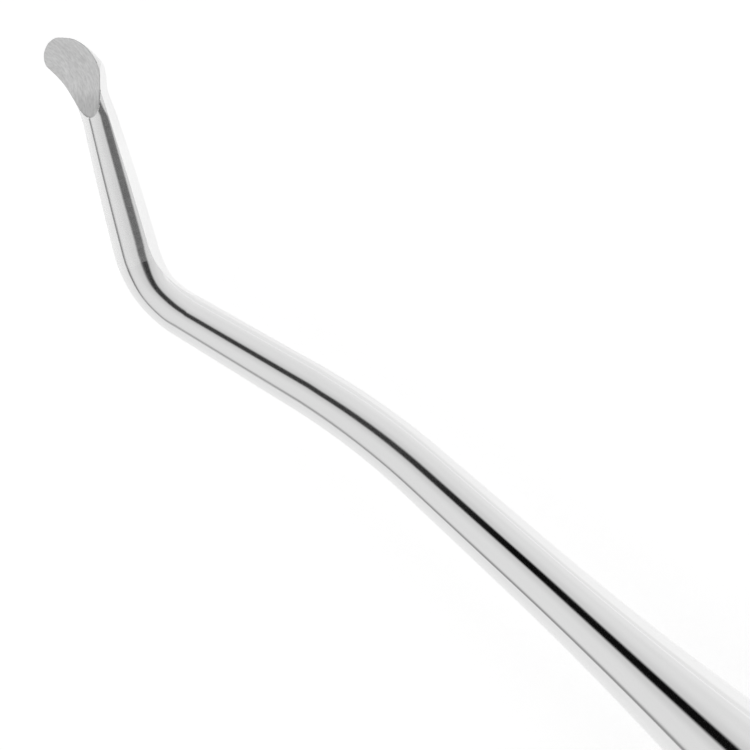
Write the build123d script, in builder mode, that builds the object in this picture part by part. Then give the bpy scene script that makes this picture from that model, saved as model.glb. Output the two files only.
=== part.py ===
from build123d import *
from math import acos, atan2, cos, degrees, radians, sin, sqrt, tan
import os

# Dental spoon excavator: one bar of steel, with an eight-sided handle in the middle, a bent
# tapering shank at each end, and a small blade with a flat ground face at the end of each shank.
# The handle lies along X with one flat on Z = 0, and both blade faces look up. The end at +X is
# the mirror image of the end at -X, because such blades come in left and right pairs.
# Sizes are in millimetres and degrees.

# Handle
bend_spacing = 135.8  # between the corners of the two bends that leave the handle's line
handle_flats = 6.0  # across opposite flats
handle_corners = 6.4  # across opposite corners, which are turned down a little

# Flare between the handle and a shank
taper_angle = 1.49  # half angle of the straight stretch beside the bend
taper_length = 4.07
flare_radius = 95.0

# Shank diameters, from the handle to the blade
first_bend_diameter = 1.72
middle_start_diameter = 1.53
middle_end_diameter = 1.37
tip_shank_start_diameter = 1.30
tip_shank_middle_diameter = 1.20
neck_diameter = 1.02

# Shank line
first_bend_angle = 11.2
first_bend_radius = 21.6
middle_length = 7.6  # from corner to corner
elbow_angle = 44.0
elbow_radius = 3.25
tip_shank_length = 5.3  # from the elbow's corner to the neck
inner_swell = 0.15  # extra radius of the tip shank, all to the elbow's inner side and below

# Blade: a bulb on a line that hooks to one side, cut to a sloping flat face
blade_root_length = 0.60  # from the neck to where the hook begins
blade_root_shift = -0.047  # of the hook's start, towards the hook's inner side
blade_hook_radius = 1.85
blade_hook_angle = 62.9
blade_dip_angle = 25.0
blade_diameters = (1.22, 1.31, 1.31, 1.245, 1.07)
face_side_tilt = 32.6
face_tip_tilt = 16.8
tongue_position = 5.40  # from the elbow's corner

# Flat ground along the inner side of the tip shank
flat_angle = 79.0
flat_depth = 0.41
flat_start = 1.35
flat_end = 6.1
flat_rise_angle = 12.0  # of the stretch that climbs from the flat's end to the blade's back
flat_rise_length = 0.9
wheel_radius = 2.5
wheel_width = 2.4
run_out_angle = 50.0
grinding_room = 12.0

# Handle: an eight-sided bar, turned down at its ends to a flare and a straight taper
first_bend_run = first_bend_radius * tan(radians(first_bend_angle / 2))
elbow_run = elbow_radius * tan(radians(elbow_angle / 2))
bend_start = bend_spacing / 2 - first_bend_run
flare_rise = (handle_corners - first_bend_diameter) / 2 - taper_length * sin(radians(taper_angle))
flare_end_angle = degrees(acos(cos(radians(taper_angle)) - flare_rise / flare_radius))
with BuildPart() as handle:
    with BuildSketch(Plane.YZ):
        RegularPolygon(radius=handle_flats / 2, side_count=8, major_radius=False, rotation=22.5)
    extrude(amount=bend_start, both=True)
    with BuildSketch(Plane.XZ):
        with BuildLine():
            taper = PolarLine(
                start=(-bend_start, first_bend_diameter / 2),
                length=taper_length,
                angle=taper_angle,
            )
            flare = JernArc(
                start=taper @ 1,
                tangent=taper % 1,
                radius=flare_radius,
                arc_size=flare_end_angle - taper_angle,
            )
            blank = Line(flare @ 1, (0, (flare @ 1).Y))
            Polyline(blank @ 1, (0, 0), (-bend_start, 0), taper @ 0)
        make_face()
        mirror(about=Plane.YZ)
    revolve(axis=Axis.X, mode=Mode.INTERSECT)

# Shank line, level with the handle's axis
with BuildLine() as shank_line:
    first_bend = JernArc(
        start=(-bend_start, 0),
        tangent=(-1, 0),
        radius=first_bend_radius,
        arc_size=first_bend_angle,
    )
    middle = PolarLine(
        start=first_bend @ 1,
        length=middle_length - first_bend_run - elbow_run,
        direction=first_bend % 1,
    )
    elbow = JernArc(
        start=middle @ 1,
        tangent=middle % 1,
        radius=elbow_radius,
        arc_size=-elbow_angle,
    )
up = Vector(0, 0, 1)
tip_direction = elbow % 1
side_direction = tip_direction.cross(up)


# Plane square to a line at a fraction of its length; its X direction is square to the line's plane
def square_to(line, fraction, plane_normal):
    return Plane(origin=line @ fraction, x_dir=plane_normal, z_dir=line % fraction)


# Bent stretch of the shank: circles square to the bend, from one diameter to the other. A swell
# makes a circle larger and moves it inwards and down, so that its top and outer side stay in line
def tapered_bend(bend, start_diameter, end_diameter, swells=(0, 0, 0, 0, 0)):
    with BuildPart() as bent:
        for place, swell in enumerate(swells):
            fraction = place / (len(swells) - 1)
            with BuildSketch(square_to(bend, fraction, up)):
                with Locations((-swell, swell)):
                    Circle((start_diameter + (end_diameter - start_diameter) * fraction) / 2 + swell)
        loft()
    return bent.part


# Straight stretch between the two bends
with BuildPart() as middle_shank:
    with BuildSketch(square_to(middle, 0, up)):
        Circle(middle_start_diameter / 2)
    with BuildSketch(square_to(middle, 1, up)):
        Circle(middle_end_diameter / 2)
    loft()

# Tip shank: turned, with a slightly full taper
swell_shift = (side_direction - up) * inner_swell
tip_start = elbow @ 1 + swell_shift
tip_plane = Plane(origin=tip_start, x_dir=tip_direction, z_dir=side_direction)
tip_turned_length = tip_shank_length - elbow_run
neck_radius = neck_diameter / 2 + inner_swell
with BuildPart() as tip_shank:
    with BuildSketch(tip_plane):
        with BuildLine():
            tip_taper = ThreePointArc(
                (0, tip_shank_start_diameter / 2 + inner_swell),
                (tip_turned_length / 2, tip_shank_middle_diameter / 2 + inner_swell),
                (tip_turned_length, neck_radius),
            )
            Polyline(tip_taper @ 1, (tip_turned_length, 0), (0, 0), tip_taper @ 0)
        make_face()
    revolve(axis=Axis(tip_start, tip_direction))
tip_circle_centre = tip_taper.arc_center

# Blade before grinding: a bulb lofted along a line that hooks to the side and dips a little
neck_centre = tip_start + tip_direction * tip_turned_length
dip = radians(blade_dip_angle)
hook_direction = side_direction * -cos(dip) - up * sin(dip)
hook_plane = Plane(
    origin=neck_centre - side_direction * inner_swell,
    x_dir=tip_direction,
    z_dir=tip_direction.cross(hook_direction),
)
with BuildPart() as blade:
    with BuildLine(hook_plane, mode=Mode.PRIVATE):
        hook = JernArc(
            start=(blade_root_length, blade_root_shift),
            tangent=(1, 0),
            radius=blade_hook_radius,
            arc_size=blade_hook_angle,
        )
    tip_narrowing = atan2(
        (blade_diameters[-2] - blade_diameters[-1]) / 2, hook.length / (len(blade_diameters) - 1)
    )
    tip_radius = blade_diameters[-1] / 2 / cos(tip_narrowing)
    with BuildSketch(Plane(origin=neck_centre, x_dir=hook_plane.z_dir, z_dir=tip_direction)):
        Circle(neck_radius)
    for place, diameter in enumerate(blade_diameters):
        with BuildSketch(square_to(hook, place / (len(blade_diameters) - 1), hook_plane.z_dir)):
            Circle(diameter / 2)
    loft()
    with Locations(hook @ 1 - hook % 1 * (tip_radius * sin(tip_narrowing))):
        Sphere(tip_radius)

# Plane of the cutting face: it leans to one side and to the tip, and runs out on the shank
side_tilt = radians(face_side_tilt)
tip_tilt = radians(face_tip_tilt)
lean = up * cos(side_tilt) - side_direction * sin(side_tilt)
tongue_point = tip_start + tip_direction * (tongue_position - elbow_run) + lean * neck_radius
face_plane = Plane(
    origin=tongue_point,
    x_dir=tip_direction * cos(tip_tilt) - lean * sin(tip_tilt),
    z_dir=tip_direction * sin(tip_tilt) + lean * cos(tip_tilt),
)


# Metal that a wheel takes off along the inner side of the tip shank: its floor follows the taper,
# runs out in the wheel's own curve inside the elbow, and climbs to the blade's back at its end
floor_radius = tip_taper.radius - flat_depth


def floor_point(station):
    along = station - elbow_run
    rise = sqrt(floor_radius**2 - (along - tip_circle_centre.X) ** 2)
    return Vector(along, tip_circle_centre.Y + rise)


rise_end = floor_point(flat_end) + Vector(flat_rise_length, 0).rotate(Axis.Z, flat_rise_angle)
outward = up * cos(radians(flat_angle)) + side_direction * sin(radians(flat_angle))
with BuildPart() as ground_flat:
    with BuildSketch(Plane(origin=tip_start, x_dir=tip_direction, z_dir=tip_direction.cross(outward))):
        with BuildLine():
            floor = ThreePointArc(
                floor_point(flat_end), floor_point((flat_start + flat_end) / 2), floor_point(flat_start)
            )
            run_out = JernArc(
                start=floor @ 1,
                tangent=floor % 1,
                radius=wheel_radius,
                arc_size=-run_out_angle,
            )
            Polyline(
                run_out @ 1,
                ((run_out @ 1).X, wheel_radius),
                (rise_end.X, wheel_radius),
                rise_end,
                floor_point(flat_end),
            )
        make_face()
    extrude(amount=wheel_width / 2, both=True)

# One working end, made about the handle's axis
with BuildPart() as working_end:
    add(tapered_bend(first_bend, first_bend_diameter, middle_start_diameter))
    add(middle_shank.part)
    elbow_swells = (0, 0, 0, inner_swell * 0.6, inner_swell)
    add(tapered_bend(elbow, middle_end_diameter, tip_shank_start_diameter, elbow_swells))
    add(tip_shank.part)
    add(blade.part)

    # Flat cutting face, sloping to the side and to the tip, run out on the shank in a tongue
    with BuildSketch(face_plane):
        Rectangle(grinding_room, grinding_room)
    extrude(amount=grinding_room / 2, mode=Mode.SUBTRACT)
    add(ground_flat.part, mode=Mode.SUBTRACT)

# Whole instrument, set down on the handle's lowest flat
with BuildPart() as spoon_excavator:
    with Locations((0, 0, handle_flats / 2)):
        add(handle.part)
        add(working_end.part)
    mirror(about=Plane.YZ)

spoon_excavator.part.label = "spoon_excavator"
os.makedirs("parts", exist_ok=True)
export_step(spoon_excavator.part, "parts/spoon_excavator.step")
size = spoon_excavator.part.bounding_box().size
print(f"overall {size.X:.2f} x {size.Y:.2f} x {size.Z:.2f} mm, volume {spoon_excavator.part.volume:.1f} mm3")
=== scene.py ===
from math import acos, asin, atan2, cos, pi, radians, sin, sqrt, tan

import bmesh
import bpy
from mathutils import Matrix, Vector


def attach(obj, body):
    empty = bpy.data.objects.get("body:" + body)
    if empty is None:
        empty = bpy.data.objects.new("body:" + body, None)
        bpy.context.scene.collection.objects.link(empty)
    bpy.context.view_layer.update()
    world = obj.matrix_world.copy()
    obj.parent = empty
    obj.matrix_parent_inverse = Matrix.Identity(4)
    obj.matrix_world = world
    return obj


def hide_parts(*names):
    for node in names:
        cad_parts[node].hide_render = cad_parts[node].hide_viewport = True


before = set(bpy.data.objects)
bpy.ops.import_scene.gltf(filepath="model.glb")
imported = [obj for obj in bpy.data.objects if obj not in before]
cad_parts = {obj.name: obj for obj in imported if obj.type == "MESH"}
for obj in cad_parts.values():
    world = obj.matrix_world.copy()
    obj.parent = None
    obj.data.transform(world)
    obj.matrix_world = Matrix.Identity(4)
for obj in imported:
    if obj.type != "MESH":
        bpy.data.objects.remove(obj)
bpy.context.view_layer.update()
mm = 0.001
micron = 0.000001
inDegrees = 180 / pi
up = Vector((0, 0, 1))


# Shader value that can be added and multiplied like a number
class Wire:
    def __init__(self, tree, socket):
        self.tree = tree
        self.socket = socket

    def math(self, operation, *values):
        node = self.tree.nodes.new("ShaderNodeMath")
        node.operation = operation
        for place, value in enumerate(values):
            if isinstance(value, Wire):
                self.tree.links.new(value.socket, node.inputs[place])
            else:
                node.inputs[place].default_value = value
        return Wire(self.tree, node.outputs[0])

    def __add__(self, other):
        return self.math("ADD", self, other)

    def __radd__(self, other):
        return self.math("ADD", other, self)

    def __sub__(self, other):
        return self.math("SUBTRACT", self, other)

    def __rsub__(self, other):
        return self.math("SUBTRACT", other, self)

    def __mul__(self, other):
        return self.math("MULTIPLY", self, other)

    def __rmul__(self, other):
        return self.math("MULTIPLY", other, self)

    def __truediv__(self, other):
        return self.math("DIVIDE", self, other)

    def __rtruediv__(self, other):
        return self.math("DIVIDE", other, self)

    def __neg__(self):
        return self.math("MULTIPLY", self, -1.0)

    def apply(self, operation, *others):
        return self.math(operation, self, *others)

    # Smooth step between two values of this one
    def ramp(self, low, high, lowValue=0.0, highValue=1.0):
        node = self.tree.nodes.new("ShaderNodeMapRange")
        node.interpolation_type = "SMOOTHSTEP"
        self.tree.links.new(self.socket, node.inputs["Value"])
        node.inputs["From Min"].default_value = low
        node.inputs["From Max"].default_value = high
        node.inputs["To Min"].default_value = lowValue
        node.inputs["To Max"].default_value = highValue
        return Wire(self.tree, node.outputs["Result"])


class Graph:
    def __init__(self, tree):
        self.tree = tree
        tree.nodes.clear()

    # Any node, from its type, its settings and the values or links of its sockets
    def node(self, kind, settings=None, inputs=None, output=0):
        made = self.tree.nodes.new("ShaderNode" + kind)
        for name, value in (settings or {}).items():
            setattr(made, name, value)
        for name, value in (inputs or {}).items():
            if isinstance(value, Wire):
                self.tree.links.new(value.socket, made.inputs[name])
            else:
                made.inputs[name].default_value = value
        return Wire(self.tree, made.outputs[output]) if made.outputs else None

    def dot(self, vector, direction):
        inputs = {0: vector, 1: direction}
        return self.node("VectorMath", {"operation": "DOT_PRODUCT"}, inputs, "Value")

    def join(self, x, y, z):
        return self.node("CombineXYZ", None, {"X": x, "Y": y, "Z": z})

    # Noise from -0.5 to 0.5
    def noise(self, vector, scale, detail=3.0, roughness=0.5):
        inputs = {"Vector": vector, "Scale": scale, "Detail": detail, "Roughness": roughness}
        return self.node("TexNoise", None, inputs, "Fac") - 0.5

    def grey(self, value):
        return self.node("CombineColor", None, {"Red": value, "Green": value, "Blue": value})

    # Depth is in microns
    def bump(self, height, depth):
        inputs = {"Height": height, "Distance": depth * micron, "Strength": 1.0}
        return self.node("Bump", None, inputs)


def newMaterial(name, make):
    material = bpy.data.materials.new(name)
    material.use_nodes = True
    graph = Graph(material.node_tree)
    graph.node("OutputMaterial", None, {"Surface": make(graph)})
    return material


# Spoon excavator: the same sizes as its solid, in millimetres and degrees
spoon = {
    "handleFlats": 6.0,
    "handleCorners": 6.4,
    "handleSides": 8,
    "bendSpacing": 135.8,
    "taperAngle": 1.49,
    "taperLength": 4.07,
    "flareRadius": 95.0,
    "firstBendAngle": 11.2,
    "firstBendRadius": 21.6,
    "firstBendDiameters": (1.72, 1.53),
    "middleLength": 7.6,
    "middleEndDiameter": 1.37,
    "elbowAngle": 44.0,
    "elbowRadius": 3.25,
    "tipShankDiameters": (1.30, 1.20, 1.02),
    "tipShankLength": 5.3,
    "innerSwell": 0.15,
    "elbowSwells": (0, 0, 0, 0.6, 1),  # shares of the swell, evenly spaced round the elbow
    "rootLength": 0.60,
    "rootShift": -0.047,
    "hookRadius": 1.85,
    "hookAngle": 62.9,
    "dipAngle": 25.0,
    "bladeDiameters": (1.22, 1.31, 1.31, 1.245, 1.07),
    "faceSideTilt": 32.6,
    "faceTipTilt": 16.8,
    "tonguePosition": 5.40,
    "flatAngle": 79.0,
    "flatDepth": 0.41,
    "flatStart": 1.35,
    "flatEnd": 6.1,
    "flatRiseAngle": 12.0,
    "flatRiseLength": 0.9,
    "wheelRadius": 2.5,
    "runOutAngle": 50.0,
    "rimWidth": 0.022,
    # Where the tip shank's fine grinding starts in the elbow's turn, and its rows past the neck
    "brushedTurn": 35.0,
    "brushedRootRows": 14,
    # Fineness of the mesh
    "handleSections": (2.0, -20.0),  # along X, the first one past the middle
    "flareSteps": 36,
    "firstBendSteps": 10,
    "elbowSteps": 48,
    "tipSteps": 16,
    "bulbSteps": 52,
    "ballSteps": 24,
    "flatPoints": 28,
    "roundPoints": 84,
    "sharpAngle": 9.0,
    # Search for the flat's edges, by angle round a section
    "searchAngles": (-30, 210, 2),
    "searchHalvings": 24,
    "spareAngle": 4,  # half of what the flat's points span where nothing is ground off
    # Distances at which points are one
    "weldGap": 0.00002,
    "planeGap": 0.00001,
    "middleGap": 0.0002,
}
polishedPlace, facePlace, flatPlace, brushedPlace, rimPlace = range(5)  # in the material list


# Smooth curve through given points, by cubic pieces
def through(places, values, place):
    count = len(places)
    slopes = []
    for i in range(count):
        low, high = max(i - 1, 0), min(i + 1, count - 1)
        slopes.append((values[high] - values[low]) / (places[high] - places[low]))
    i = max(k for k in range(count - 1) if k == 0 or places[k] <= place)
    span = places[i + 1] - places[i]
    t = (place - places[i]) / span
    return (
        values[i] * (1 + 2 * t) * (1 - t) ** 2
        + slopes[i] * span * t * (1 - t) ** 2
        + values[i + 1] * t * t * (3 - 2 * t)
        + slopes[i + 1] * span * t * t * (t - 1)
    )


# Arc through three points: centre and radius
def arcThrough(a, b, c):
    (ax, ay), (bx, by), (cx, cy) = a, b, c
    aa, bb, cc = ax**2 + ay**2, bx**2 + by**2, cx**2 + cy**2
    d = 2 * (ax * (by - cy) + bx * (cy - ay) + cx * (ay - by))
    x = (aa * (by - cy) + bb * (cy - ay) + cc * (ay - by)) / d
    y = (aa * (cx - bx) + bb * (ax - cx) + cc * (bx - ax)) / d
    return (x, y), sqrt((ax - x) ** 2 + (ay - y) ** 2)


# Sections from the handle's middle to the blade's tip: centre, two directions and radius
sections = []


def addSection(centre, heading, radius, upward=up):
    across = heading.cross(upward)
    sections.append({"centre": centre, "up": upward, "across": across, "radius": radius})


# Handle, flare and straight taper
firstBendRun = spoon["firstBendRadius"] * tan(radians(spoon["firstBendAngle"] / 2))
elbowRun = spoon["elbowRadius"] * tan(radians(spoon["elbowAngle"] / 2))
bendStart = spoon["bendSpacing"] / 2 - firstBendRun
handleHeading = Vector((-1, 0, 0))
smallRadius = spoon["firstBendDiameters"][0] / 2
taperAngle = radians(spoon["taperAngle"])
taperTop = smallRadius + spoon["taperLength"] * sin(taperAngle)
taperStart = bendStart - spoon["taperLength"] * cos(taperAngle)
flareRise = spoon["handleCorners"] / 2 - taperTop
flareEnd = acos(cos(taperAngle) - flareRise / spoon["flareRadius"])
flareLength = spoon["flareRadius"] * (sin(flareEnd) - sin(taperAngle))
for x in (*spoon["handleSections"], flareLength - taperStart):
    addSection(Vector((x, 0, 0)), handleHeading, spoon["handleCorners"] / 2)
for step in range(1, spoon["flareSteps"] + 1):
    angle = flareEnd + (taperAngle - flareEnd) * step / spoon["flareSteps"]
    x = -taperStart + spoon["flareRadius"] * (sin(angle) - sin(taperAngle))
    radius = taperTop + spoon["flareRadius"] * (cos(taperAngle) - cos(angle))
    addSection(Vector((x, 0, 0)), handleHeading, radius)


# A swell makes a section larger and moves it inwards and down, so its top and outer side stay in line
def addBend(start, heading, inward, bendRadius, turn, startRadius, endRadius, steps, swells=(0, 0)):
    places = [k / (len(swells) - 1) for k in range(len(swells))]
    for step in range(1, steps + 1):
        angle = turn * step / steps
        centre = start + heading * (bendRadius * sin(angle))
        centre = centre + inward * (bendRadius * (1 - cos(angle)))
        turned = heading * cos(angle) + inward * sin(angle)
        swell = through(places, swells, step / steps)
        radius = startRadius + (endRadius - startRadius) * step / steps
        addSection(centre + (turned.cross(up) - up) * swell, turned, radius + swell)
    return centre, turned


# First bend and middle stretch
corner = Vector((-bendStart, 0, 0))
addSection(corner, handleHeading, smallRadius)
bendEnd, middleHeading = addBend(
    corner, handleHeading, Vector((0, -1, 0)), spoon["firstBendRadius"],
    radians(spoon["firstBendAngle"]), smallRadius, spoon["firstBendDiameters"][1] / 2,
    spoon["firstBendSteps"],
)
middleEnd = bendEnd + middleHeading * (spoon["middleLength"] - firstBendRun - elbowRun)
addSection(middleEnd, middleHeading, spoon["middleEndDiameter"] / 2)

# Elbow
innerSwell = spoon["innerSwell"]
brushedShare = spoon["brushedTurn"] / spoon["elbowAngle"]
brushedStart = len(sections) + round(spoon["elbowSteps"] * brushedShare)
elbowEnd, tipHeading = addBend(
    middleEnd, middleHeading, middleHeading.cross(up), spoon["elbowRadius"],
    radians(spoon["elbowAngle"]), spoon["middleEndDiameter"] / 2, spoon["tipShankDiameters"][0] / 2,
    spoon["elbowSteps"], [innerSwell * share for share in spoon["elbowSwells"]],
)

# Tip shank: turned, with a slightly full taper
side = tipHeading.cross(up)
tipStart = elbowEnd + (side - up) * innerSwell
tipLength = spoon["tipShankLength"] - elbowRun
tipRadii = [diameter / 2 + innerSwell for diameter in spoon["tipShankDiameters"]]
taperCentre, taperRadius = arcThrough(
    (0, tipRadii[0]), (tipLength / 2, tipRadii[1]), (tipLength, tipRadii[2])
)
for step in range(1, spoon["tipSteps"] + 1):
    along = tipLength * step / spoon["tipSteps"]
    radius = taperCentre[1] + sqrt(taperRadius**2 - (along - taperCentre[0]) ** 2)
    addSection(tipStart + tipHeading * along, tipHeading, radius)
brushedEnd = len(sections) + spoon["brushedRootRows"]

# Blade: a root, a hook that dips, and a round tip
dip = radians(spoon["dipAngle"])
hookInward = side * -cos(dip) - up * sin(dip)
hookNormal = tipHeading.cross(hookInward)
hookStart = tipStart - side * innerSwell + tipHeading * (tipLength + spoon["rootLength"])
hookStart = hookStart + hookInward * spoon["rootShift"]
hookTurn = radians(spoon["hookAngle"])


def hookPlace(angle):
    heading = tipHeading * cos(angle) + hookInward * sin(angle)
    centre = hookStart + tipHeading * (spoon["hookRadius"] * sin(angle))
    centre = centre + hookInward * (spoon["hookRadius"] * (1 - cos(angle)))
    return centre, heading


def addHookSection(centre, heading, radius):
    upward = hookNormal * cos(dip) + heading.cross(hookNormal) * sin(dip)
    addSection(centre, heading, radius, upward)


bladeRadii = [diameter / 2 for diameter in spoon["bladeDiameters"]]
hookParts = len(bladeRadii) - 1
knots = [(tipStart + tipHeading * tipLength, tipRadii[2])]
for k, radius in enumerate(bladeRadii):
    knots.append((hookPlace(hookTurn * k / hookParts)[0], radius))
knotPlaces = [0.0]
for before, after in zip(knots, knots[1:]):
    knotPlaces.append(knotPlaces[-1] + (after[0] - before[0]).length)
rootEnd, bulbLength = knotPlaces[1], knotPlaces[-1]
for step in range(1, spoon["bulbSteps"] + 1):
    place = bulbLength * step / spoon["bulbSteps"]
    centre = [through(knotPlaces, [knot[0][i] for knot in knots], place) for i in range(3)]
    radius = through(knotPlaces, [knot[1] for knot in knots], place)
    turn = hookTurn * max(place - rootEnd, 0) / (bulbLength - rootEnd)
    addHookSection(Vector(centre), hookPlace(turn)[1], radius)
bulbEnd, endHeading = hookPlace(hookTurn)
narrowing = atan2(bladeRadii[-2] - bladeRadii[-1], spoon["hookRadius"] * hookTurn / hookParts)
ballRadius = bladeRadii[-1] / cos(narrowing)
for step in range(1, spoon["ballSteps"] + 1):
    angle = narrowing + (pi / 2 - narrowing) * step / spoon["ballSteps"]
    ahead = endHeading * (ballRadius * (sin(angle) - sin(narrowing)))
    addHookSection(bulbEnd + ahead, endHeading, ballRadius * cos(angle))
print("sections", len(sections))

# Cut of the wheel that grinds the tip shank's flat
cutOutward = up * cos(radians(spoon["flatAngle"])) + side * sin(radians(spoon["flatAngle"]))


# Height of the cut over the tip shank's axis, or None where the wheel doesn't reach
def floorHeight(along):
    reach = taperRadius - spoon["flatDepth"]
    start, end = spoon["flatStart"] - elbowRun, spoon["flatEnd"] - elbowRun
    climb = radians(spoon["flatRiseAngle"])
    if along > end + spoon["flatRiseLength"] * cos(climb):
        return None
    if along >= start:
        level = taperCentre[1] + sqrt(reach**2 - (min(along, end) - taperCentre[0]) ** 2)
        return level + max(along - end, 0) * tan(climb)
    slope = asin((start - taperCentre[0]) / reach)
    wheelX = start + spoon["wheelRadius"] * sin(slope)
    wheelY = taperCentre[1] + (reach + spoon["wheelRadius"]) * cos(slope)
    if wheelX - along > spoon["wheelRadius"] * sin(radians(spoon["runOutAngle"])):
        return None
    return wheelY - sqrt(spoon["wheelRadius"] ** 2 - (wheelX - along) ** 2)


# How far a point stands out past the cut
def aboveCut(point):
    offset = point - tipStart
    floor = floorHeight(offset.dot(tipHeading))
    return -1.0 if floor is None else offset.dot(cutOutward) - floor


def roundPoint(section, angle):
    outward = section["up"] * cos(radians(angle)) + section["across"] * sin(radians(angle))
    return section["centre"] + outward * section["radius"]


# Angle where a section's circle meets the cut, between one angle outside it and one inside
def meeting(section, outside, inside):
    for step in range(spoon["searchHalvings"]):
        middle = (outside + inside) / 2
        if aboveCut(roundPoint(section, middle)) > 0:
            inside = middle
        else:
            outside = middle
    return inside


# Angles of the flat's two edges on a section, and whether the wheel reaches it
def flatEdges(section, before):
    first, last, step = spoon["searchAngles"]
    ground = [k for k in range(first, last, step) if aboveCut(roundPoint(section, k)) > 0]
    if ground:
        low = meeting(section, ground[0] - step, ground[0])
        high = meeting(section, ground[-1] + step, ground[-1])
    else:
        middle = (before[0] + before[1]) / 2
        low, high = middle - spoon["spareAngle"], middle + spoon["spareAngle"]
    return low, high, bool(ground)


# The same for every section. Past the wheel's reach, the flat's points run on in line
def allFlatEdges():
    low, high = spoon["flatAngle"] - spoon["spareAngle"], spoon["flatAngle"] + spoon["spareAngle"]
    edges = [(low, high, False)]
    for section in sections:
        edges.append(flatEdges(section, edges[-1]))
    return edges[1:]


# Row or column of a point of the grid, whose sides run from -1 to 1
def gridPlace(coordinate, count):
    return (coordinate + 1) / 2 * count


def chooseMaterials(bm, edges, rows, columns):
    for face in bm.faces:
        centre = face.calc_center_median()
        row = int(gridPlace(centre.x, rows))
        column = int(gridPlace(centre.y, columns))
        face.smooth = True
        if column < spoon["flatPoints"] and edges[row][2] and edges[row + 1][2]:
            face.material_index = flatPlace
        elif brushedStart <= row < brushedEnd:
            face.material_index = brushedPlace


# Each point goes onto its section's circle, or down onto the flat
def placePoints(bm, edges, rows, columns):
    straight = bm.verts.layers.float_vector.new("straightened")
    flatPoints, roundPoints = spoon["flatPoints"], spoon["roundPoints"]
    lengths = [0.0]
    for before, after in zip(sections, sections[1:]):
        lengths.append(lengths[-1] + (after["centre"] - before["centre"]).length)
    for vert in bm.verts:
        row = round(gridPlace(vert.co.x, rows))
        column = round(gridPlace(vert.co.y, columns))
        low, high, isGround = edges[row]
        if column <= flatPoints:
            angle = low + (high - low) * column / flatPoints
        else:
            angle = high + (low + 360 - high) * (column - flatPoints) / roundPoints
        section = sections[row]
        point = roundPoint(section, angle)
        if column <= flatPoints and isGround:
            point = point - cutOutward * max(aboveCut(point), 0)
        vert.co = (point + lifted) * mm
        offset = point - section["centre"]
        across, above = offset.dot(section["across"]), offset.dot(section["up"])
        vert[straight] = Vector((lengths[row], across, above)) * mm


def sharpenEdges(bm):
    for edge in bm.edges:
        if len(edge.link_faces) == 2:
            onFlat = [face.material_index == flatPlace for face in edge.link_faces]
            if onFlat[0] != onFlat[1] or edge.calc_face_angle(0) > radians(spoon["sharpAngle"]):
                edge.smooth = False


# Bar: a grid whose rows are the sections, and whose columns go round them, the flat's columns first
def layBar(bm):
    rows, columns = len(sections) - 1, spoon["flatPoints"] + spoon["roundPoints"]
    bmesh.ops.create_grid(bm, x_segments=rows, y_segments=columns, size=1.0)
    edges = allFlatEdges()
    chooseMaterials(bm, edges, rows, columns)
    placePoints(bm, edges, rows, columns)
    bmesh.ops.remove_doubles(bm, verts=bm.verts, dist=spoon["weldGap"] * mm)
    bmesh.ops.edgeloop_fill(bm, edges=[edge for edge in bm.edges if edge.is_boundary])
    sharpenEdges(bm)


# Every part of a mesh, for the operators
def everything(bm):
    return bm.verts[:] + bm.edges[:] + bm.faces[:]


# Cut by a plane, close the cut with one flat face, and keep its edges sharp
def cut(bm, point, normal, material):
    made = bmesh.ops.bisect_plane(
        bm, geom=everything(bm), dist=spoon["planeGap"] * mm,
        plane_co=point, plane_no=normal, clear_outer=True,
    )
    rim = [item for item in made["geom_cut"] if isinstance(item, bmesh.types.BMEdge)]
    for edge in rim:
        edge.smooth = False
    filled = bmesh.ops.edgeloop_fill(bm, edges=rim, mat_nr=material)
    for face in filled["faces"]:
        face.smooth = True
    return rim


def cutHandleFlats(bm):
    sides = spoon["handleSides"]
    for k in range(sides):
        outward = Vector((0, sin(2 * pi * k / sides), cos(2 * pi * k / sides)))
        cut(bm, (outward * spoon["handleFlats"] / 2 + lifted) * mm, outward, polishedPlace)


# Blade's flat face, which leans to one side and to the tip, with a narrow turned edge
def cutFace(bm):
    sideTilt, tipTilt = radians(spoon["faceSideTilt"]), radians(spoon["faceTipTilt"])
    lean = up * cos(sideTilt) - side * sin(sideTilt)
    tongue = tipStart + tipHeading * (spoon["tonguePosition"] - elbowRun) + lean * tipRadii[2]
    faceNormal = tipHeading * sin(tipTilt) + lean * cos(tipTilt)
    rim = cut(bm, (tongue + lifted) * mm, faceNormal, facePlace)
    turned = bmesh.ops.bevel(
        bm, geom=rim, offset=spoon["rimWidth"] * mm, offset_type="OFFSET", affect="EDGES",
        segments=2, profile=0.5, material=-1,
    )
    for face in turned["faces"]:
        face.material_index = rimPlace


# Second half is the mirror image of the first
def addSecondHalf(bm):
    bmesh.ops.bisect_plane(
        bm, geom=everything(bm), dist=spoon["planeGap"] * mm,
        plane_co=(0, 0, 0), plane_no=(1, 0, 0), clear_outer=True,
    )
    half = bmesh.ops.duplicate(bm, geom=everything(bm))
    copied = [item for item in half["geom"] if isinstance(item, bmesh.types.BMVert)]
    bmesh.ops.scale(bm, vec=(-1, 1, 1), verts=copied)
    bmesh.ops.remove_doubles(bm, verts=bm.verts, dist=spoon["middleGap"] * mm)
    bmesh.ops.recalc_face_normals(bm, faces=bm.faces)
    if bm.calc_volume(signed=True) < 0:
        bmesh.ops.reverse_faces(bm, faces=bm.faces)


def addObject(name, bm):
    mesh = bpy.data.meshes.new(name)
    bm.to_mesh(mesh)
    bm.free()
    made = bpy.data.objects.new(name, mesh)
    bpy.context.scene.collection.objects.link(made)
    return made


lifted = up * (spoon["handleFlats"] / 2)  # the handle lies on one flat
bm = bmesh.new()
layBar(bm)
cutHandleFlats(bm)
cutFace(bm)
addSecondHalf(bm)
excavator = addObject("spoonExcavator", bm)
print("spoon excavator faces", len(excavator.data.polygons))

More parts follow.
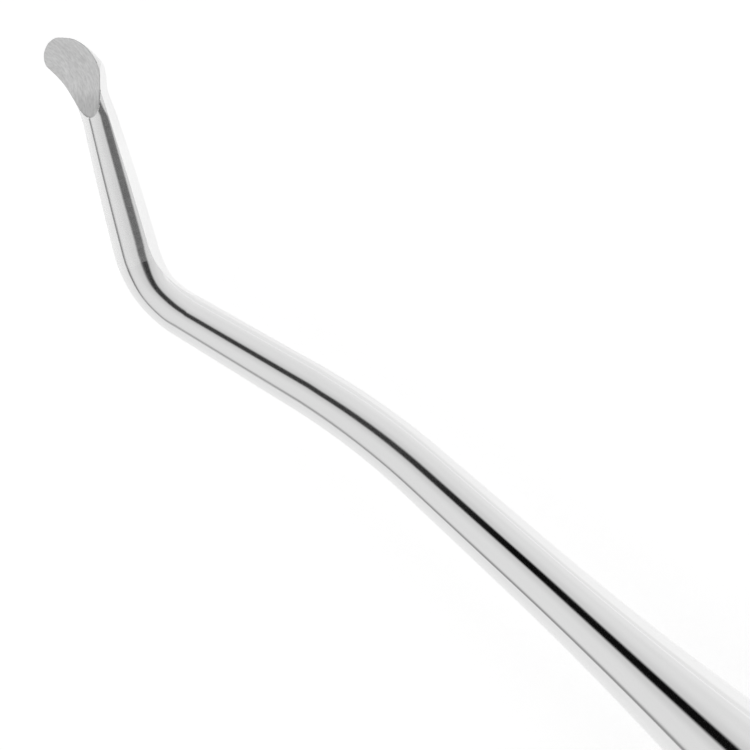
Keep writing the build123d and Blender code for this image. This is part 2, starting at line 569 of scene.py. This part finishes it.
# Steel: stretches are along the bar, scales are per millimetre and depths are in microns
finish = {
    "hazeRoughness": 0.60,
    "polished": {
        "tone": 0.80,
        "toneChange": 0.03,
        "roughness": 0.07,
        "roughnessChange": 0.05,
        "lines": (30.0, 9.0),  # stretch and scale
        "lineDepth": 0.25,
        "cloud": (3.0, 0.9),
        "shankStart": (64.0, 70.0),  # along the bar
        "shankRoughness": 0.05,
        "shankHaze": 0.055,
    },
    "brushed": {
        "tone": 0.85,
        "toneChange": 0.04,
        "roughness": 0.06,
        "haze": 0.25,
        "hazeChange": 0.10,
        "lines": (30.0, 16.0),
        "lineDepth": 0.25,
        "rings": (0.5, 4.0),
        "ringRoughness": 0.6,
        "ringDepth": 0.4,
        "cloud": (1.0, 5.0),
    },
    "face": {
        "tone": 0.72,
        "lineChange": 0.62,
        "cloudChange": 0.16,
        "roughness": 0.42,
        "roughnessChange": 0.15,
        "arcCentre": (82.0, -0.3),
        "arcRadius": 2.5,
        "lineStretch": 4.0,
        "lineScale": 18.0,
        "lineDetail": 5.0,
        "lineRoughness": 0.7,
        "lineDepth": 3.0,
        "cloudStretch": 2.5,
        "cloudScale": 2.6,
        # Painted shade: the face's colour is darker before this span
        "paintedFaceShadeEdge": (68.2, 69.0),  # along the tip shank, from the middle of the handle
        "paintedFaceShade": 0.15,
    },
    "flat": {
        "tone": 0.83,
        "toneChange": 0.05,
        "roughness": 0.16,
        "roughnessChange": 0.10,
        "lines": (25.0, 14.0),
        "lineDepth": 0.8,
        "cloud": (2.0, 2.5),
        "bladeStart": (81.2, 82.8),  # along the bar
        # Painted shade where the flat runs up to the blade
        "paintedBladeShade": 0.08,
    },
    "rim": {
        "tone": 0.55,
        "toneChange": 0.4,
        "roughness": 0.3,
        "roughnessChange": 0.1,
        "cloud": (1.0, 6.0),
        "depth": 1.0,
    },
}


# Place on the bar as if it were straight, in millimetres, drawn out along its length
def barPlace(graph, stretch=1.0):
    place = graph.node("Attribute", {"attribute_name": "straightened"}, None, "Vector")
    inputs = {0: place, 1: (1 / mm / stretch, 1 / mm, 1 / mm)}
    return graph.node("VectorMath", {"operation": "MULTIPLY"}, inputs)


def barNoise(graph, kind, roughness=0.5):
    stretch, scale = kind
    return graph.noise(barPlace(graph, stretch), scale, roughness=roughness)


def alongBar(graph):
    return graph.dot(barPlace(graph), (1, 0, 0))


def steel(graph, tone, rough, normal):
    inputs = {"Base Color": graph.grey(tone), "Metallic": 1.0, "Roughness": rough, "Normal": normal}
    return graph.node("BsdfPrincipled", None, inputs)


# Hand polish, a little coarser and hazier on the thin shanks
def polished(graph):
    look = finish["polished"]
    lines = barNoise(graph, look["lines"])
    cloud = barNoise(graph, look["cloud"])
    onShank = alongBar(graph).ramp(*look["shankStart"])
    tone = look["tone"] + (cloud + lines) * look["toneChange"]
    rough = look["roughness"] + onShank * look["shankRoughness"] + cloud * look["roughnessChange"]
    normal = graph.bump(lines, look["lineDepth"])
    sharp = steel(graph, tone, rough, normal)
    haze = steel(graph, tone, finish["hazeRoughness"], normal)
    return graph.node("MixShader", None, {0: onShank * look["shankHaze"], 1: sharp, 2: haze})


# Fine grinding on the tip shank: a sharp mirror under a haze, with rings round the bar
def brushed(graph):
    look = finish["brushed"]
    rings = barNoise(graph, look["rings"], look["ringRoughness"])
    lines = barNoise(graph, look["lines"])
    cloud = barNoise(graph, look["cloud"])
    tone = look["tone"] + (rings + lines) * look["toneChange"]
    sharp = steel(graph, tone, look["roughness"], graph.bump(lines, look["lineDepth"]))
    haze = steel(graph, tone, finish["hazeRoughness"], graph.bump(rings, look["ringDepth"]))
    amount = look["haze"] + (rings + cloud) * look["hazeChange"]
    return graph.node("MixShader", None, {0: amount, 1: sharp, 2: haze})


# Lines left by the stone are arcs about one centre, mirrored at the other end, and the face has
# painted shade: its colour is painted a little darker towards the shank
def groundFace(graph):
    look = finish["face"]
    place = graph.node("TexCoord", None, None, "Object")
    inward = graph.dot(place, (1 / mm, 0, 0)).apply("ABSOLUTE")
    sideways = graph.dot(place, (0, 1 / mm, 0))
    offLong = inward - look["arcCentre"][0]
    offWide = sideways - look["arcCentre"][1]
    across = (offLong * offLong + offWide * offWide).apply("SQRT")
    along = offWide.apply("ARCTAN2", offLong) * look["arcRadius"]
    lines = graph.noise(
        graph.join(along / look["lineStretch"], across, 0.0),
        look["lineScale"], look["lineDetail"], look["lineRoughness"],
    )
    cloud = graph.noise(graph.join(along / look["cloudStretch"], across, 0.0), look["cloudScale"])
    towardsTip = inward * -tipHeading.x + sideways * tipHeading.y
    # Painted shade: the colour is darkened towards the shank, standing in for the face turning from
    # the light
    paintedFaceShade = towardsTip.ramp(*look["paintedFaceShadeEdge"], 1.0 - look["paintedFaceShade"], 1.0)
    tone = look["tone"] + lines * look["lineChange"] + cloud * look["cloudChange"]
    rough = look["roughness"] + cloud * look["roughnessChange"]
    return steel(graph, tone * paintedFaceShade, rough, graph.bump(lines, look["lineDepth"]))


# The flat's colour is painted a little darker where it runs up to the blade, as painted shade
def groundFlat(graph):
    look = finish["flat"]
    lines = barNoise(graph, look["lines"])
    cloud = barNoise(graph, look["cloud"])
    paintedShadeNearBlade = alongBar(graph).ramp(*look["bladeStart"])
    # Painted shade: the tone drops near the blade
    tone = look["tone"] - paintedShadeNearBlade * look["paintedBladeShade"] + (lines + cloud) * look["toneChange"]
    rough = look["roughness"] + cloud * look["roughnessChange"]
    return steel(graph, tone, rough, graph.bump(lines, look["lineDepth"]))


def cutRim(graph):
    look = finish["rim"]
    cloud = barNoise(graph, look["cloud"])
    tone = look["tone"] + cloud * look["toneChange"]
    rough = look["roughness"] + cloud * look["roughnessChange"]
    return steel(graph, tone, rough, graph.bump(cloud, look["depth"]))


for name, make in (
    ("polishedSteel", polished),
    ("groundFace", groundFace),
    ("sideFlat", groundFlat),
    ("brushedShank", brushed),
    ("cutRim", cutRim),
):
    excavator.data.materials.append(newMaterial(name, make))
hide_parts("spoon_excavator")
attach(excavator, "root")
print("materials done")

# Floor: plain paper, white to the camera, with painted light and shade in the glow that the steel
# mirrors, in metres
paper = {
    "half": 1.5,
    "tone": 0.62,
    "grainScale": 60.0,
    "grainChange": 0.01,
    "glow": 0.56,
    "nearSide": (0.0005, 0.004),  # along +Y
    "nearSideGlow": 0.13,
    "farSide": (0.0, 0.014),  # along -Y
    "farSideFade": 0.14,
    "glowSpan": (-0.074, -0.062),  # along X
    "glowEdges": (0.0055, 0.015),  # along +Y, at the two ends of that span
    "glowBlend": (0.7, 1.5),  # shares of an edge's distance
    "distanceFade": 0.24,
}
bm = bmesh.new()
bmesh.ops.create_grid(bm, x_segments=1, y_segments=1, size=paper["half"])
floor = addObject("floor", bm)


def floorPaper(graph):
    place = graph.node("TexCoord", None, None, "Object")
    grain = graph.noise(place, paper["grainScale"])
    tone = graph.grey(paper["tone"] + grain * paper["grainChange"])
    paint = graph.node("BsdfDiffuse", None, {"Color": tone})
    seen = graph.node("LightPath", None, None, "Is Camera Ray")
    mirrored = graph.node("LightPath", None, None, "Is Glossy Ray")
    northward = graph.dot(place, (0, 1, 0))
    edge = graph.dot(place, (1, 0, 0)).ramp(*paper["glowSpan"], *paper["glowEdges"])
    # Painted light and shade in the floor's glow, seen only in reflections: lighter close by to +Y,
    # darker to -Y and further out to +Y
    paintedReflectionLight = 1.0 + northward.ramp(*paper["nearSide"]) * paper["nearSideGlow"]
    paintedReflectionLight = paintedReflectionLight - (-northward).ramp(*paper["farSide"]) * paper["farSideFade"]
    paintedReflectionLight = paintedReflectionLight - (northward / edge).ramp(*paper["glowBlend"]) * paper["distanceFade"]
    colour = graph.grey(seen + mirrored * paintedReflectionLight)
    glow = graph.node("Emission", None, {"Color": colour, "Strength": paper["glow"]})
    return graph.node("AddShader", None, {0: paint, 1: glow})


floor.data.materials.append(newMaterial("floorPaper", floorPaper))

# Surroundings by direction: east is +X, north is +Y, and heights are degrees over the horizon
room = {
    "zoneEast": -0.05,
    "zoneNorth": 0.13,
    "zoneSkew": 0.38,
    "zoneLong": 2.2,  # how far the zone is drawn out to the west
    "zoneBend": 0.05,
    "bendSpan": (0.03, 0.15),  # to the west
    "zoneCore": 8.0,  # degrees from the zone's centre
    "zoneEdge": 16.0,
    "zoneTail": 40.0,
    "coreTone": 0.004,
    "edgeTone": 0.84,
    "seamHeight": 4.5,
    "seamHalf": 6.4,
    "seamBlend": 3.0,
    "eastRise": 9.0,
    "eastSpan": (0.02, 0.19),
    "westRise": 1.0,
    "westSpan": (0.2, 0.5),
    "westDark": 0.35,
    "seamLeast": 0.03,
    "southDark": 0.62,
    "southSpan": (0.1, 0.7),
    "northGlow": 0.10,
    "northSpan": (0.88, 1.0),
    "upperTone": 0.885,
    "lowerTone": 1.0,
}


# Darkness behind the camera: a leaning oval, longer and bent to the west, with a pale tail round it
def cameraZone(eastward, northward):
    offEast = eastward - room["zoneEast"]
    offLong = offEast.apply("MAXIMUM", 0.0) + offEast.apply("MINIMUM", 0.0) / room["zoneLong"]
    bend = (-eastward).ramp(*room["bendSpan"]) * room["zoneBend"]
    offShort = northward - eastward * room["zoneSkew"] - room["zoneNorth"] + bend
    distance = (offLong * offLong + offShort * offShort).apply("SQRT") * inDegrees
    core = distance.ramp(room["zoneCore"], room["zoneEdge"], room["coreTone"], room["edgeTone"])
    tail = distance.ramp(room["zoneEdge"], room["zoneTail"], 0.0, 1.0 - room["edgeTone"])
    return core + tail


# Pale walls over a white floor, with a thin grey seam between them that is darkest to the south
def wallsAndSeam(eastward, northward, height):
    southward = (-northward).ramp(*room["southSpan"])
    westward = (-eastward).ramp(*room["westSpan"])
    rise = eastward.ramp(*room["eastSpan"]) * room["eastRise"] + westward * room["westRise"]
    overSeam = height - (room["seamHeight"] + rise)
    offSeam = overSeam / room["seamHalf"]
    dark = room["seamLeast"] + southward * room["southDark"] * (1.0 + westward * room["westDark"])
    seam = (-(offSeam * offSeam)).apply("EXPONENT") * dark
    glow = 1.0 + northward.ramp(*room["northSpan"]) * room["northGlow"]
    walls = overSeam.ramp(-room["seamBlend"], room["seamBlend"], room["lowerTone"], room["upperTone"])
    return walls * glow * (1.0 - seam)


# What the camera sees straight away is plain white
def buildRoom():
    world = bpy.data.worlds.new("room")
    bpy.context.scene.world = world
    world.use_nodes = True
    graph = Graph(world.node_tree)
    facing = graph.node("TexCoord", None, None, "Generated")
    eastward = graph.dot(facing, (1, 0, 0))
    northward = graph.dot(facing, (0, 1, 0))
    height = graph.dot(facing, (0, 0, 1)).apply("ARCSINE") * inDegrees
    around = wallsAndSeam(eastward, northward, height) * cameraZone(eastward, northward)
    seen = graph.node("LightPath", None, None, "Is Camera Ray")
    strength = around + seen * (1.0 - around)
    backdrop = graph.node("Background", None, {"Color": (1, 1, 1, 1), "Strength": strength})
    graph.node("OutputWorld", None, {"Surface": backdrop})


buildRoom()
print("floor and room done")

# Camera: it looks straight down, and its picture has this width at the handle's axis
view = {
    "centre": (-68.736, 1.186, 3.0),  # millimetres
    "width": 22.06,
    "turn": 41.92,  # degrees, from +X to the picture's right
    "lens": 600.0,
    "sensor": 36.0,
    "clipStart": 10.0,
}
cameraData = bpy.data.cameras.new("camera")
cameraData.lens = view["lens"]
cameraData.sensor_width = view["sensor"]
cameraData.clip_start = view["clipStart"] * mm
camera = bpy.data.objects.new("camera", cameraData)
bpy.context.scene.collection.objects.link(camera)
away = view["width"] * view["lens"] / view["sensor"]
camera.location = (Vector(view["centre"]) + up * away) * mm
camera.rotation_euler = (0, 0, radians(view["turn"]))
bpy.context.scene.camera = camera
bpy.context.scene.view_settings.view_transform = "Standard"
print("camera done")
